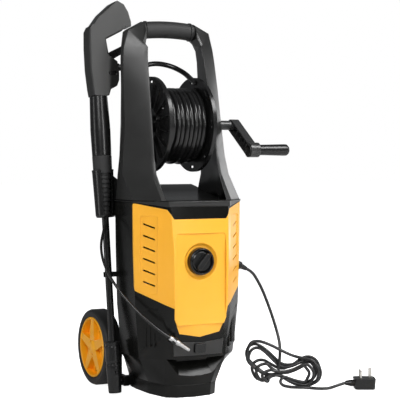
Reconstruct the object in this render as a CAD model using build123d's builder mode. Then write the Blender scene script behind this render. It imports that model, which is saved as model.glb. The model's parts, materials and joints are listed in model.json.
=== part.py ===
from build123d import *
import os
from math import acos, cos, degrees, pi, radians, sin, sqrt, tan

os.makedirs("parts", exist_ok=True)

# Upright electric pressure washer. Millimetres, +X right, -Y front, +Z up.
# The origin is on the flat underside of the base, in the plane of symmetry.

# ---------------------------------------------------------------- driving dimensions
WALL = 3.5
TRAY_TOP = 28.0
HOUSING_TOP = 437.0
SPLIT_Y = -10.0

WHEEL_R = 89.0
RIM_R = 70.7
WHEEL_Y = 100.0
WHEEL_OUT = 145.0
WHEEL_WIDTH = 44.0
AXLE_R = 6.0

REEL_Y = -40.0
REEL_Z = 611.0
FLANGE_R = 108.6
FLANGE_X = 54.0
FLANGE_THICK = 4.0
REEL_SHAFT_R = 11.0
DRUM_R = 52.0
COIL_R = 88.0
CRANK_END = (-122.0, 553.0)

KNOB_Z = 306.0
KNOB_R = 23.5

MOTOR_Y = -50.0
SHAFT_R = 6.0

LANCE_FOOT = (-147.0, -45.0, 4.0)
LANCE_AXIS = (-0.0089, 0.1138, 0.9935)

BAND_Z = 113.0
GLAND_Y = -103.0
GLAND_Z = 288.0
CABLE_D = 7.0
HOSE_D = 12.0
THIN_HOSE_D = 6.0


# ---------------------------------------------------------------- helpers
def save(builder, name):
    """Label a finished sub-part and write its file."""
    builder.part.label = name
    export_step(builder.part, "parts/" + name + ".step")


def both_sides(half):
    """Closed outline from its right half, listed from the front middle to the back middle."""
    return half + [(-x, y) for x, y in reversed(half) if x > 0]


def inset(points, wall):
    """Convex outline moved inwards by one wall."""
    count = len(points)
    area = sum(points[i][0] * points[(i + 1) % count][1] - points[(i + 1) % count][0] * points[i][1]
               for i in range(count))
    turn = 1 if area > 0 else -1
    result = []
    for i in range(count):
        before, here, after = points[i - 1], points[i], points[(i + 1) % count]
        normals = []
        for start, end in ((before, here), (here, after)):
            dx, dy = end[0] - start[0], end[1] - start[1]
            size = sqrt(dx * dx + dy * dy)
            normals.append((-turn * dy / size, turn * dx / size))
        (ax, ay), (bx, by) = normals
        scale = wall / (1 + ax * bx + ay * by)
        result.append((here[0] + scale * (ax + bx), here[1] + scale * (ay + by)))
    return result


def stacked(sections):
    """Solid through level outlines, each given as (height, points)."""
    with BuildPart() as solid:
        for height, points in sections:
            with BuildSketch(Plane.XY.offset(height)):
                Polygon(*points, align=None)
        loft(ruled=True)
    return solid.part


def prism(plane, points, start, end, radius=0):
    """Outline on a plane, carried from start to end along the plane's normal."""
    with BuildPart() as solid:
        with BuildSketch(plane.offset(start)) as outline:
            Polygon(*points, align=None)
            if radius > 0:
                fillet(outline.vertices(), radius)
        extrude(amount=end - start)
    return solid.part


def skinned(rings):
    """Solid with flat triangles between matching rings of points and a flat face at each end."""
    faces = [Face(Wire.make_polygon(ring)) for ring in (rings[0], rings[-1])]
    for low, high in zip(rings, rings[1:]):
        for i in range(len(low)):
            j = (i + 1) % len(low)
            faces.append(Face(Wire.make_polygon([low[i], low[j], high[j]])))
            faces.append(Face(Wire.make_polygon([low[i], high[j], high[i]])))
    return Solid(Shell(faces))


def turned(origin, direction, profile):
    """Solid of revolution from (radius, height) points about an axis."""
    axis = Vector(*direction).normalized()
    radial = axis.cross(Vector(0.31, 0.52, 0.79)).normalized()
    with BuildPart() as solid:
        with BuildSketch(Plane(origin=origin, x_dir=radial, z_dir=radial.cross(axis))):
            Polygon(*profile, align=None)
        revolve(axis=Axis(origin, axis))
    return solid.part


def rod(start, end, radius, hole=0):
    """Round bar or tube between two points."""
    axis = Vector(*end) - Vector(*start)
    with BuildPart() as solid:
        with BuildSketch(Plane(origin=start, z_dir=axis)):
            Circle(radius)
            if hole > 0:
                Circle(hole, mode=Mode.SUBTRACT)
        extrude(amount=axis.length)
    return solid.part


def on_lance(across, along, out=0):
    """Point beside the lance: across to the right, along it from its foot, out to the front."""
    axis = Vector(*LANCE_AXIS).normalized()
    right = (Vector(1, 0, 0) - axis * axis.X).normalized()
    front = right.cross(axis)
    return Vector(*LANCE_FOOT) + right * across + axis * along + front * out


def lance_plane(along=0, out=0):
    """Plane that faces front, with its y axis along the lance."""
    axis = Vector(*LANCE_AXIS).normalized()
    right = (Vector(1, 0, 0) - axis * axis.X).normalized()
    return Plane(origin=on_lance(0, along, out), x_dir=right, z_dir=right.cross(axis))


def corner_radii(route):
    """Largest tangent arc that each corner of a cord's route allows."""
    points = [Vector(*point) for point in route]
    radii = []
    for i in range(1, len(points) - 1):
        before = points[i] - points[i - 1]
        after = points[i + 1] - points[i]
        half_turn = radians(before.get_angle(after)) / 2
        radii.append(0.45 * min(before.length, after.length) / tan(half_turn))
    return radii


def cord_tube(name, route, diameter):
    """Tube along straight runs joined by tangent arcs."""
    radii = corner_radii(route)
    with BuildPart() as tube:
        with BuildLine() as path:
            FilletPolyline(*route, radius=radii)
        with BuildSketch(Plane(origin=path.line @ 0, z_dir=path.line % 0)):
            Circle(diameter / 2)
        sweep(path=path.line)
    length = sum(edge.length for edge in path.line.edges())
    ideal = pi * diameter ** 2 / 4 * length
    print(name, "length", round(length), "radii", [round(r) for r in radii],
          "volume ratio", round(tube.part.volume / ideal, 3))
    save(tube, name)


# ---------------------------------------------------------------- housing shells
# Each level lists the right half of the plan, from the front middle to the back middle.
BODY_LEVELS = [
    (0, [(0, -152), (42, -146), (62, -131), (74, -70), (74, 0), (70, 40), (62, 58)]),
    (TRAY_TOP, [(0, -154), (43, -148), (64, -132), (77, -70), (78, -6), (74, 40), (66, 60)]),
    (90, [(0, -171), (58, -165), (76, -156), (119, -112), (119, -17), (92, 12), (84, 64)]),
    (138, [(0, -177), (58, -172), (78, -162), (124, -115), (124, -18), (94, 12), (84, 64)]),
    (205, [(0, -188), (66, -185), (82, -170), (130, -117), (131, -20), (108, 26), (90, 64)]),
    (330, [(0, -189), (68, -186), (84, -167), (134, -117), (134, -20), (106, 36), (94, 64)]),
    (HOUSING_TOP, [(0, -179), (72, -176), (86, -163), (135, -117), (136, -22), (106, 38), (94, 64)]),
]
outer_levels = [(height, both_sides(half)) for height, half in BODY_LEVELS]
inner_levels = [(height, inset(points, WALL)) for height, points in outer_levels]
body_block = stacked(outer_levels)
body_void = stacked([(-1, inner_levels[0][1])] + inner_levels[1:-1] + [(HOUSING_TOP + 1, inner_levels[-1][1])])

with BuildPart() as shell:
    add(body_block)
    add(body_void, mode=Mode.SUBTRACT)

# Yellow front cover: side edges fall towards the front, with a bib below and a notch above.
side_profile = [(-113, HOUSING_TOP - 1), (-172, 421), (-230, 405), (-230, 181), (-187, 203), (-113, 243)]
bib_profile = [(-69, 215), (-66, 203), (-64, 180), (-50, 147), (0, 138), (50, 147), (64, 180), (66, 203), (69, 215)]
notch_profile = [(-84, 450), (-77, 420), (-65, 400), (65, 400), (77, 420), (84, 450)]
XZ_FRONT = Plane(origin=(0, 0, 0), x_dir=(1, 0, 0), z_dir=(0, -1, 0))

with BuildPart() as cover_region:
    with BuildSketch(Plane.YZ.offset(-200)) as side_outline:
        Polygon(*side_profile, align=None)
        corner = side_outline.vertices().group_by(Axis.X)[-1].sort_by(Axis.Y)
        fillet(corner[0], 14)
        fillet(side_outline.vertices().group_by(Axis.X)[-1].sort_by(Axis.Y)[-1], 6)
    extrude(amount=400)
    add(prism(XZ_FRONT, bib_profile, 120, 230))
    add(prism(XZ_FRONT, notch_profile, 100, 230), mode=Mode.SUBTRACT)


def facet_plane(sign, along, height, out=0):
    """Plane on a slanted side facet of the cover, its x axis pointing to the back corner."""
    start, end = Vector(84 * sign, -167, 0), Vector(134 * sign, -117, 0)
    run = (end - start).normalized()
    normal = Vector(run.Y * sign, -run.X * sign, 0)
    origin = start + run * along + Vector(0, 0, height) + normal * out
    return Plane(origin=origin, x_dir=run, z_dir=normal)


VENT_HEIGHTS = [385.0 - 25.5 * i for i in range(6)]

with BuildPart() as front_cover:
    add(shell.part)
    add(cover_region.part, mode=Mode.INTERSECT)
    for sign in (-1, 1):
        slope = 19 * (1 if facet_plane(sign, 0, 0).y_dir.Z > 0 else -1)
        with BuildSketch(facet_plane(sign, 35, 321, 1.0)):
            RectangleRounded(40, 172, 5)
        extrude(amount=-2.2, mode=Mode.SUBTRACT)
        for height in VENT_HEIGHTS:
            with BuildSketch(facet_plane(sign, 35, height, 4)):
                SlotOverall(30, 3.6, rotation=slope)
            extrude(amount=-12, mode=Mode.SUBTRACT)
    # Shallow field that the knob stands in, and the knob's dish.
    with BuildSketch(XZ_FRONT.offset(182)):
        with Locations((0, 268)):
            RectangleRounded(124, 200, 8)
    extrude(amount=12, mode=Mode.SUBTRACT)
    with BuildSketch(XZ_FRONT.offset(182 - WALL)):
        with Locations((0, 268)):
            RectangleRounded(128, 204, 8)
    extrude(amount=WALL)
    add(cover_region.part, mode=Mode.INTERSECT)
    add(turned((0, -176, KNOB_Z), (0, -1, 0), [(0, 0), (35, 0), (42, 7), (42, 20), (0, 20)]), mode=Mode.SUBTRACT)
    add(turned((0, -172, KNOB_Z), (0, -1, 0), [(KNOB_R + 7, 0), (37, 0), (44, 8.5), (42, 10), (35, 4), (KNOB_R + 7, 4)]))
save(front_cover, "front_cover")

with BuildPart() as knob_ring:
    add(turned((0, -166, KNOB_Z), (0, -1, 0),
               [(KNOB_R + 1, 0), (KNOB_R + 6.7, 0), (KNOB_R + 6.7, 22), (KNOB_R + 3.5, 25), (KNOB_R + 1, 22)]))
save(knob_ring, "knob_ring")

with BuildPart() as knob:
    add(turned((0, -170, KNOB_Z), (0, -1, 0), [(0, 0), (KNOB_R, 0), (KNOB_R, 16), (KNOB_R - 3, 18), (0, 18)]))
    with BuildSketch(Plane(origin=(0, -188, KNOB_Z), x_dir=(1, 0, 0), z_dir=(0, -1, 0))):
        SlotOverall(2 * KNOB_R - 4, 13, rotation=50)
    extrude(amount=11)
    fillet(knob.faces().sort_by(Axis.Y)[0].edges(), 2)
    add(rod((0, -170, KNOB_Z), (0, -144, KNOB_Z), 4))
save(knob, "knob")

with BuildPart() as switch_body:
    with BuildSketch(Plane(origin=(0, -165.5, KNOB_Z), x_dir=(1, 0, 0), z_dir=(0, 1, 0))):
        RectangleRounded(46, 40, 4)
    extrude(amount=30)
    add(rod((0, -166, KNOB_Z), (0, -143, KNOB_Z), 4.05), mode=Mode.SUBTRACT)
save(switch_body, "switch_body")

# Black front housing, with the scooped step under the front band.
SCOOP_TOP = 90.0
with BuildPart() as scoop:
    for depth, points in ((200, [(-74, SCOOP_TOP), (74, SCOOP_TOP), (42, 49), (-42, 49)]),
                          (158, [(-74, SCOOP_TOP), (74, SCOOP_TOP), (42, 49), (-42, 49)]),
                          (136, [(-46, SCOOP_TOP), (46, SCOOP_TOP), (36, 80), (-36, 80)])):
        with BuildSketch(XZ_FRONT.offset(depth)):
            Polygon(*points, align=None)
    loft(ruled=True)

with BuildPart() as scoop_block:
    add(body_block)
    with Locations((0, -150, 70)):
        Box(176, 44, 56, mode=Mode.INTERSECT)

with BuildPart() as front_housing:
    add(shell.part)
    add(scoop_block.part)
    add(cover_region.part, mode=Mode.SUBTRACT)
    add(scoop.part, mode=Mode.SUBTRACT)
    for sign in (-1, 1):
        with BuildSketch(facet_plane(sign, 34, 158, -3.5)):
            Polygon((-20, -46), (-20, 22), (20, 44), (20, -40), align=None)
        extrude(amount=20, mode=Mode.SUBTRACT)
        with BuildSketch(facet_plane(sign, 34, 158, -17)):
            Polygon((-22, -50), (-22, 24), (22, 47), (22, -44), align=None)
        extrude(amount=10)
        with BuildSketch(facet_plane(sign, 34, 150, -9)):
            with Locations((-9, 0), (1, 0), (11, 0)):
                RectangleRounded(3.6, 66, 1.5)
        extrude(amount=5)
    split(bisect_by=Plane.XY.offset(TRAY_TOP), keep=Keep.TOP)
    split(bisect_by=Plane.XZ.offset(-SPLIT_Y), keep=Keep.TOP)
    # Openings for the cable gland and for the band's button.
    with BuildSketch(Plane.YZ.offset(134)):
        with Locations((GLAND_Y, GLAND_Z)):
            Circle(8.2)
    extrude(amount=10, both=True, mode=Mode.SUBTRACT)
    with BuildSketch(XZ_FRONT.offset(165)):
        with Locations((0, BAND_Z)):
            RectangleRounded(27.8, 20.8, 3.4)
    extrude(amount=20, mode=Mode.SUBTRACT)
save(front_housing, "front_housing")

# Black rear housing with louvres, the inlet's opening and four screw seats.
SCREW_PLACES = [(-72, 96), (72, 96), (-74, 404), (74, 404)]
INLET_Z = 118.0
REAR_FACE = 64.0
with BuildPart() as rear_housing:
    add(shell.part)
    split(bisect_by=Plane.XY.offset(TRAY_TOP), keep=Keep.TOP)
    split(bisect_by=Plane.XZ.offset(-SPLIT_Y), keep=Keep.BOTTOM)
    with BuildSketch(XZ_FRONT.offset(-REAR_FACE - 5)):
        with GridLocations(0, 14, 1, 7):
            with Locations((0, 196)):
                SlotOverall(92, 5)
        with Locations((0, INLET_Z)):
            Circle(17.2)
        with Locations(*SCREW_PLACES):
            Circle(2.4)
    extrude(amount=10, mode=Mode.SUBTRACT)
    # Raised ribs beside the louvres stiffen the back.
    for x in (-62, 62):
        with Locations((x, REAR_FACE + 1.2, 270)):
            Box(5, 3.2, 250)
save(rear_housing, "rear_housing")

with BuildPart() as housing_screws:
    for x, z in SCREW_PLACES:
        add(turned((x, REAR_FACE - 12, z), (0, 1, 0), [(0, 0), (2, 0), (2, 12), (4, 12.2), (4, 14.4), (0, 14.4)]))
save(housing_screws, "housing_screws")

# Base tray: a flat floor, upstanding walls and two arms that carry the wheel axle.
ARM_X = 84.0
with BuildPart() as base_tray:
    add(body_block)
    split(bisect_by=Plane.XY.offset(TRAY_TOP), keep=Keep.BOTTOM)
    add(stacked([(4, inset(outer_levels[0][1], WALL)), (TRAY_TOP + 1, inset(outer_levels[1][1], WALL))]),
        mode=Mode.SUBTRACT)
    for sign in (-1, 1):
        with BuildSketch(Plane.YZ.offset(sign * ARM_X - 6)):
            with BuildLine():
                Polyline((30, 3), (60, 3), (WHEEL_Y + 14, WHEEL_R - 12), (WHEEL_Y + 14, WHEEL_R + 8),
                         (WHEEL_Y + 6, WHEEL_R + 16), (WHEEL_Y - 20, WHEEL_R + 16), (70, 60), (70, 26), (30, 26),
                         close=True)
            make_face()
            with Locations((WHEEL_Y, WHEEL_R)):
                Circle(AXLE_R + 0.05, mode=Mode.SUBTRACT)
        extrude(amount=12)
        with Locations((sign * 69, 45, 14)):
            Box(30, 26, 20)
        # Pedestals for the pump.
        with Locations((sign * 30, MOTOR_Y, 29.4)):
            Box(18, 50, 53)
save(base_tray, "base_tray")

# Front band and its push button.
band_block = stacked([(h, inset(p, -2.5)) for h, p in outer_levels[2:5]])
with BuildPart() as front_band:
    add(band_block)
    add(body_block, mode=Mode.SUBTRACT)
    with BuildSketch(XZ_FRONT.offset(100)) as band_outline:
        with BuildLine():
            Polyline((-60, 97), (-63, 128), (-62, 131))
            ThreePointArc((-62, 131), (0, 126), (62, 131))
            Polyline((62, 131), (63, 128), (60, 97), (-60, 97))
        make_face()
    extrude(amount=100, mode=Mode.INTERSECT)
    with BuildSketch(XZ_FRONT.offset(150)):
        with Locations((0, BAND_Z)):
            RectangleRounded(27.6, 20.6, 3.3)
    extrude(amount=40, mode=Mode.SUBTRACT)
save(front_band, "front_band")

with BuildPart() as band_button:
    with BuildSketch(XZ_FRONT.offset(170)):
        with Locations((0, BAND_Z)):
            RectangleRounded(27, 20, 3)
    extrude(amount=11)
    fillet(band_button.faces().sort_by(Axis.Y)[0].edges(), 1)
save(band_button, "band_button")

# Clip on the front housing that parks the thin hose's metal tip.
TIP_START = (-80.0, -186.0, 143.0)
TIP_END = (-36.0, -196.0, 113.0)
tip_direction = (Vector(*TIP_END) - Vector(*TIP_START)).normalized()
clip_centre = Vector(*TIP_START) + tip_direction * 14

with BuildPart() as tip_clip:
    add(rod(clip_centre - tip_direction * 4, clip_centre + tip_direction * 4, 8))
    add(rod(clip_centre + Vector(0, 6, 0), clip_centre + Vector(0, 30, 0), 5))
    add(rod(clip_centre - tip_direction * 30, clip_centre + tip_direction * 30, 5.8), mode=Mode.SUBTRACT)
    add(body_block, mode=Mode.SUBTRACT)
    with BuildSketch(Plane(origin=clip_centre - tip_direction * 6, x_dir=(0, -1, 0), z_dir=tip_direction)):
        with Locations((8, 0)):
            Rectangle(10, 7)
    extrude(amount=12, mode=Mode.SUBTRACT)
    keep_clip = tip_clip.solids().sort_by(SortBy.VOLUME)[-1]
with BuildPart() as tip_clip:
    add(keep_clip)
save(tip_clip, "tip_clip")

# ---------------------------------------------------------------- top deck and handle frame
DECK_TOP = 441.0
# Right post, seen from above: inner front edge, front crease, two outer corners, two back
# corners and a point half-way along the inner face.
POST_LEVELS = [
    (DECK_TOP, [(76, -161), (87, -163), (134, -117), (135, -24), (106, 36), (98, 30), (107, -62)]),
    (497, [(79, -121), (88, -116), (136, -62), (137, -38), (110, 18), (101, 12), (97, -54)]),
    (540, [(78, -108), (86, -102), (130, -54), (131, -36), (109, 14), (100, 10), (92, -48)]),
    (REEL_Z, [(77, -96), (85, -90), (123, -50), (124, -33), (106, 14), (98, 10), (88, -43)]),
    (700, [(74, -75), (82, -69), (120, -36), (121, -22), (103, 18), (95, 15), (85, -30)]),
    (760, [(71, -60), (79, -54), (117, -26), (118, -13), (101, 20), (93, 17), (82, -20)]),
    (786, [(68, -54), (76, -48), (114, -23), (115, -9), (97, 19), (89, 17), (78, -17)]),
]
# The post turns into the handle through a slanted ring, then the bar's upright end.
CORNER_RING = [(70.5, -47, 792.5), (76, -45, 798), (103, -24, 825), (104, -8, 826), (101, 12, 823),
               (79.5, 15, 801.5), (72, -15, 794)]
BAR_END = [(-40, 812), (-38, 826), (-26, 843), (-8, 847), (10, 838), (14, 814), (-12, 805)]
BAR_X = 64.0


def shrink(points, wall):
    """Outline drawn in towards its middle by about one wall."""
    cx = sum(p[0] for p in points) / len(points)
    cy = sum(p[1] for p in points) / len(points)
    result = []
    for x, y in points:
        reach = sqrt((x - cx) ** 2 + (y - cy) ** 2)
        keep = max(0.35, 1 - 1.7 * wall / reach)
        result.append((cx + keep * (x - cx), cy + keep * (y - cy)))
    return result


post_rings = [[(x, y, height) for x, y in points] for height, points in POST_LEVELS]
post_rings += [CORNER_RING, [(BAR_X, y, z) for y, z in BAR_END]]
post_outer = skinned(post_rings)
post_inner = stacked([(h - (1 if h == DECK_TOP else 0), shrink(points, WALL)) for h, points in POST_LEVELS[:-1]])
right_foot = skinned(post_rings[:3])
left_foot = mirror(right_foot, about=Plane.YZ)
BUSH_R = 15.8
BUSH_INNER_X = 76.0
deck_outline = both_sides([(0, -180), (76, -177), (87, -165), (137, -118), (138, -22), (108, 39), (95, 66)])
deck_edge = both_sides([(0, -177), (74, -174), (84, -163), (134, -117), (135, -23), (106, 36), (94, 64)])
with BuildPart() as top_deck:
    add(stacked([(427, deck_outline), (DECK_TOP - 2, deck_outline), (DECK_TOP, deck_edge)]))
    # The front edge hangs lower than the back.
    add(prism(Plane.YZ, [(-250, 420), (-190, 424), (-117, HOUSING_TOP + 0.4), (120, HOUSING_TOP + 0.4),
                         (120, 400), (-250, 400)], -200, 200), mode=Mode.SUBTRACT)
    add(body_block, mode=Mode.SUBTRACT)
    # The top rises from the front lip to a raised back between the posts.
    add(prism(Plane.YZ, [(-160, DECK_TOP - 1), (-160, DECK_TOP), (-110, 442), (-60, 447), (-10, 456), (30, 467), (56, 472),
                         (62, 469), (64, DECK_TOP - 1)], -99, 99))
    add(right_foot, mode=Mode.SUBTRACT)
    add(left_foot, mode=Mode.SUBTRACT)
save(top_deck, "top_deck")

bush_solids = []
post_parts = []
for side, sign in (("left", -1), ("right", 1)):
    with BuildPart() as post:
        add(post_outer)
        add(post_inner, mode=Mode.SUBTRACT)
        add(top_deck.part, mode=Mode.SUBTRACT)
        # Seat of the reel's bush, and on the right the way out for the reel's shaft.
        add(rod((60, REEL_Y, REEL_Z), (104, REEL_Y, REEL_Z), BUSH_R + 0.2), mode=Mode.SUBTRACT)
        if sign > 0:
            add(rod((100, REEL_Y, REEL_Z), (140, REEL_Y, REEL_Z), REEL_SHAFT_R + 0.5), mode=Mode.SUBTRACT)
        else:
            mirror(about=Plane.YZ, mode=Mode.REPLACE)
    save(post, side + "_post")
    post_parts.append(post.part)

    with BuildPart() as bush:
        add(turned((sign * BUSH_INNER_X, REEL_Y, REEL_Z), (sign, 0, 0),
                   [(REEL_SHAFT_R + 0.05, 0), (24, 0), (24, 6), (BUSH_R, 9), (BUSH_R, 26), (REEL_SHAFT_R + 0.05, 26)]))
        add(post.part, mode=Mode.SUBTRACT)
    bush_solids.append(bush.solids().sort_by(SortBy.VOLUME)[-1])

with BuildPart() as reel_bushes:
    for solid in bush_solids:
        add(solid)
save(reel_bushes, "reel_bushes")

with BuildPart() as handle_bar:
    with BuildLine() as bar_line:
        ThreePointArc((-BAR_X, -13, 826), (0, -13, 830), (BAR_X, -13, 826))
    with BuildSketch(Plane(origin=bar_line.line @ 0, z_dir=bar_line.line % 0, x_dir=(0, 1, 0))):
        Ellipse(18, 19.5)
    sweep(path=bar_line.line)
    # A raised ring closes each end of the round grip.
    for x in (-57, 57):
        with BuildSketch(Plane(origin=(x - 2, -13, 826.8), x_dir=(0, 1, 0), z_dir=(1, 0, 0))):
            Ellipse(19.8, 21.3)
        extrude(amount=4)
    for post_part in post_parts:
        add(post_part, mode=Mode.SUBTRACT)
save(handle_bar, "handle_bar")

# ---------------------------------------------------------------- hose reel
for side, sign in (("left", -1), ("right", 1)):
    inner_x = sign * (FLANGE_X - FLANGE_THICK)
    with BuildPart() as flange:
        with BuildSketch(Plane(origin=(inner_x, REEL_Y, REEL_Z), x_dir=(0, 1, 0), z_dir=(sign, 0, 0))):
            Circle(FLANGE_R)
            with PolarLocations(97, 8):
                SlotOverall(16, 5, rotation=90, mode=Mode.SUBTRACT)
            with PolarLocations(72, 6, start_angle=30):
                Circle(4, mode=Mode.SUBTRACT)
        extrude(amount=FLANGE_THICK)
        # Rolled rim and radial ribs on the outer side.
        with BuildSketch(Plane(origin=(sign * FLANGE_X, REEL_Y, REEL_Z), x_dir=(0, 1, 0), z_dir=(sign, 0, 0))):
            Circle(FLANGE_R)
            Circle(FLANGE_R - 3.5, mode=Mode.SUBTRACT)
            with PolarLocations(64, 16, start_angle=11.25):
                Rectangle(54, 2.6)
            Circle(40)
            Circle(36.5, mode=Mode.SUBTRACT)
        extrude(amount=5)
        with BuildSketch(Plane(origin=(sign * FLANGE_X, REEL_Y, REEL_Z), x_dir=(0, 1, 0), z_dir=(sign, 0, 0))):
            Circle(20)
        extrude(amount=16)
        add(rod((sign * 40, REEL_Y, REEL_Z), (sign * 80, REEL_Y, REEL_Z), REEL_SHAFT_R), mode=Mode.SUBTRACT)
    save(flange, side + "_reel_flange")

DRUM_HALF = FLANGE_X - FLANGE_THICK
with BuildPart() as reel_drum:
    add(rod((-DRUM_HALF, REEL_Y, REEL_Z), (DRUM_HALF, REEL_Y, REEL_Z), DRUM_R, DRUM_R - 3))
    for x in (-DRUM_HALF, DRUM_HALF - 4):
        add(rod((x, REEL_Y, REEL_Z), (x + 4, REEL_Y, REEL_Z), DRUM_R - 3, REEL_SHAFT_R))
save(reel_drum, "reel_drum")

with BuildPart() as hose_coil:
    add(rod((-DRUM_HALF, REEL_Y, REEL_Z), (DRUM_HALF, REEL_Y, REEL_Z), COIL_R, DRUM_R))
save(hose_coil, "hose_coil")

with BuildPart() as reel_shaft:
    add(rod((-102, REEL_Y, REEL_Z), (152, REEL_Y, REEL_Z), REEL_SHAFT_R))
save(reel_shaft, "reel_shaft")

arm_y, arm_z = CRANK_END
with BuildPart() as crank_arm:
    with BuildSketch(Plane.YZ.offset(152)):
        with Locations((REEL_Y, REEL_Z)):
            Circle(14)
        with Locations((arm_y, arm_z)):
            Circle(14)
        make_hull()
    extrude(amount=20)
    with BuildSketch(Plane.YZ.offset(152)):
        with Locations((REEL_Y, REEL_Z)):
            Circle(11)
        with Locations((arm_y, arm_z)):
            Circle(11)
        make_hull()
        with Locations((REEL_Y, REEL_Z)):
            Circle(12, mode=Mode.SUBTRACT)
        with Locations((arm_y, arm_z)):
            Circle(12, mode=Mode.SUBTRACT)
    extrude(amount=16, mode=Mode.SUBTRACT)
    # Cross ribs in the open channel.
    slope = degrees(acos((arm_y - REEL_Y) / sqrt((arm_y - REEL_Y) ** 2 + (arm_z - REEL_Z) ** 2)))
    for share in (0.3, 0.5, 0.7):
        with BuildSketch(Plane.YZ.offset(156)):
            with Locations((REEL_Y + share * (arm_y - REEL_Y), REEL_Z + share * (arm_z - REEL_Z))):
                Rectangle(2.4, 24, rotation=-slope)
        extrude(amount=13)
    with BuildSketch(Plane.YZ.offset(154)):
        with Locations((arm_y, arm_z)):
            Circle(17)
            Circle(12.5, mode=Mode.SUBTRACT)
    extrude(amount=25)
    with BuildSketch(Plane.YZ.offset(150)):
        with Locations((arm_y, arm_z)):
            Circle(12.5)
    extrude(amount=20, mode=Mode.SUBTRACT)
    with BuildSketch(Plane.YZ.offset(169)):
        with Locations((arm_y, arm_z)):
            Circle(13)
    extrude(amount=10)
    add(turned((168, arm_y, arm_z), (1, 0, 0), [(0, 0), (5, 0), (5, 86), (0, 86)]))
save(crank_arm, "crank_arm")

with BuildPart() as crank_grip:
    add(turned((179.4, arm_y, arm_z), (1, 0, 0),
               [(5.06, 0), (12, 0), (12.4, 24), (13.5, 70), (13.2, 76), (10.5, 79.8), (0, 80.6), (0, 75.2), (5.06, 75.2)]))
save(crank_grip, "crank_grip")

# ---------------------------------------------------------------- wheels
SPOKES = 5
for side, sign in (("left", -1), ("right", 1)):
    face = (sign * WHEEL_OUT, WHEEL_Y, WHEEL_R)
    inward = (-sign, 0, 0)
    with BuildPart() as tyre:
        add(turned(face, inward, [(RIM_R, 3), (RIM_R + 4, 1), (WHEEL_R - 6, 1), (WHEEL_R - 2, 3.5), (WHEEL_R, 9),
                                  (WHEEL_R, WHEEL_WIDTH - 8), (WHEEL_R - 2, WHEEL_WIDTH - 3),
                                  (WHEEL_R - 6, WHEEL_WIDTH), (RIM_R, WHEEL_WIDTH)]))
    save(tyre, side + "_tyre")
    with BuildPart() as rim:
        add(turned(face, inward, [(RIM_R - 5, 2.5), (RIM_R - 3, 0.8), (RIM_R, 2.5), (RIM_R, 43), (RIM_R - 4, 43),
                                  (RIM_R - 4, 24), (18, 18), (18, 40), (AXLE_R + 0.05, 40), (AXLE_R + 0.05, 3.4),
                                  (0, 3.4), (0, 0), (9, 0.6), (16, 3), (18, 6), (18, 12.5), (RIM_R - 5, 19)]))
        # Five spokes stand out of the dished web, with a window in the web between each two.
        with BuildSketch(Plane(origin=(sign * (WHEEL_OUT - 3), WHEEL_Y, WHEEL_R), x_dir=(0, 1, 0), z_dir=inward)):
            with PolarLocations(42, SPOKES, start_angle=90):
                Trapezoid(25, 52, 84, rotation=-90)
        extrude(amount=17)
        with BuildSketch(Plane(origin=(sign * (WHEEL_OUT - 1), WHEEL_Y, WHEEL_R), x_dir=(0, 1, 0), z_dir=inward)):
            Circle(RIM_R + 20)
            Circle(RIM_R - 0.4, mode=Mode.SUBTRACT)
        extrude(amount=30, mode=Mode.SUBTRACT)
        with BuildSketch(Plane(origin=(sign * WHEEL_OUT, WHEEL_Y, WHEEL_R), x_dir=(0, 1, 0), z_dir=inward)):
            with PolarLocations(48, SPOKES, start_angle=90 + 180 / SPOKES):
                Trapezoid(34, 24, 76, rotation=90)
        extrude(amount=40, mode=Mode.SUBTRACT)
        add(rod((sign * 90, WHEEL_Y, WHEEL_R), (sign * 141.6, WHEEL_Y, WHEEL_R), AXLE_R + 0.05), mode=Mode.SUBTRACT)
    save(rim, side + "_rim")

with BuildPart() as wheel_axle:
    add(rod((-141.2, WHEEL_Y, WHEEL_R), (141.2, WHEEL_Y, WHEEL_R), AXLE_R))
save(wheel_axle, "wheel_axle")

# ---------------------------------------------------------------- motor and pump
with BuildPart() as motor_case:
    add(turned((0, MOTOR_Y, 214), (0, 0, 1),
               [(13.2, 0), (58, 0), (58, 140), (13.2, 140), (13.2, 128), (22, 128), (54, 126), (54, 14), (22, 12), (13.2, 12)]))
save(motor_case, "motor_case")
with BuildPart() as stator:
    add(rod((0, MOTOR_Y, 240), (0, MOTOR_Y, 326), 53.8, 31))
    for z in (229, 326):
        add(rod((0, MOTOR_Y, z), (0, MOTOR_Y, z + 11), 48, 33))
save(stator, "stator")
with BuildPart() as rotor:
    add(rod((0, MOTOR_Y, 242), (0, MOTOR_Y, 324), 29.5, SHAFT_R))
save(rotor, "rotor")
with BuildPart() as motor_shaft:
    add(rod((0, MOTOR_Y, 160), (0, MOTOR_Y, 398), SHAFT_R))
save(motor_shaft, "motor_shaft")
with BuildPart() as motor_bearings:
    for z in (214.4, 343.6):
        add(rod((0, MOTOR_Y, z), (0, MOTOR_Y, z + 10), 13.2, SHAFT_R + 0.05))
save(motor_bearings, "motor_bearings")
with BuildPart() as cooling_fan:
    add(rod((0, MOTOR_Y, 372), (0, MOTOR_Y, 390), 12, SHAFT_R))
    add(rod((0, MOTOR_Y, 372), (0, MOTOR_Y, 374.5), 48, SHAFT_R))
    for i in range(9):
        blade_plane = Plane(origin=(0, MOTOR_Y, 374), x_dir=(cos(2 * pi * i / 9), sin(2 * pi * i / 9), 0), z_dir=(0, 0, 1))
        with BuildSketch(blade_plane):
            with Locations((29, 0)):
                Rectangle(36, 2)
        extrude(amount=15)
save(cooling_fan, "cooling_fan")
with BuildPart() as swash_plate:
    add(rod((0, MOTOR_Y, 166), (0, MOTOR_Y, 196), 32, SHAFT_R))
    add(prism(Plane.YZ, [(-120, 150), (20, 150), (20, 180), (-120, 170)], -60, 60), mode=Mode.SUBTRACT)
save(swash_plate, "swash_plate")
PISTON_RING = 22.0
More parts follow.
